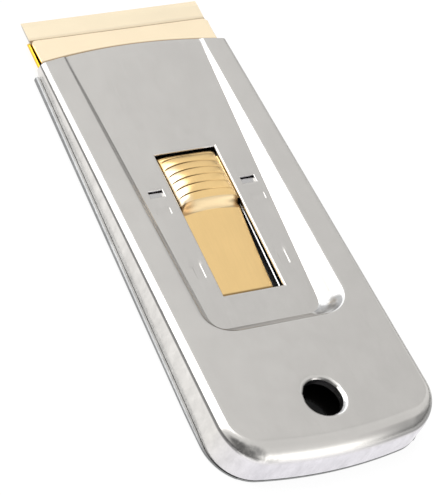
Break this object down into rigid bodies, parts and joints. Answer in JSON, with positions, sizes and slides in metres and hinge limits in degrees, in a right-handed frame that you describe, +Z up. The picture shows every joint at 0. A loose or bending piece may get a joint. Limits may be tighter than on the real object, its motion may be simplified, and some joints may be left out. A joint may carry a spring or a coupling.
{
  "type": "retractable razor blade scraper",
  "caption": "Flat stamped-steel pocket scraper with a hang hole: a ribbed thumb hump in a window slides a gold carriage that pushes a single-edge razor blade out of the wide front.",
  "frame": {"origin": "under the middle of the box around the scraper, on the back plate's underside", "axes": "+Y towards the blade, +Z up out of the thumb hump's face, +X to the right seen from above with the blade ahead"},
  "size_m": [0.0464, 0.1004, 0.0083],
  "materials": {
    "satin_steel": "satin",
    "plate_steel": "satin, slightly mottled",
    "gold_plating": "satin gold plating",
    "blade_steel": "ground",
    "rivet_steel": "satin"
  },
  "bodies": {
    "body": {"top_shell": "satin_steel", "back_plate": "plate_steel"},
    "carriage": {"blade_tray": "gold_plating", "jaw_plate": "gold_plating", "blade_strip": "blade_steel", "blade_spine": "rivet_steel", "jaw_rivet_left": "rivet_steel", "jaw_rivet_right": "rivet_steel", "tongue_rivet_left": "rivet_steel", "tongue_rivet_right": "rivet_steel"},
    "thumb": {"thumb_tongue": "gold_plating"}
  },
  "joints": [
    {"name": "carriage_slide", "type": "slide", "parent": "body", "child": "carriage", "axis": [0, 1, 0], "range_m": [-0.0172, 0]},
    {"name": "thumb_press", "type": "hinge", "parent": "carriage", "child": "thumb", "pos_m": [0, -0.01687, 0.00131], "axis": [-1, 0, 0], "range_deg": [0, 1.5], "stiffness_Nm_per_rad": 4.5}
  ]
}
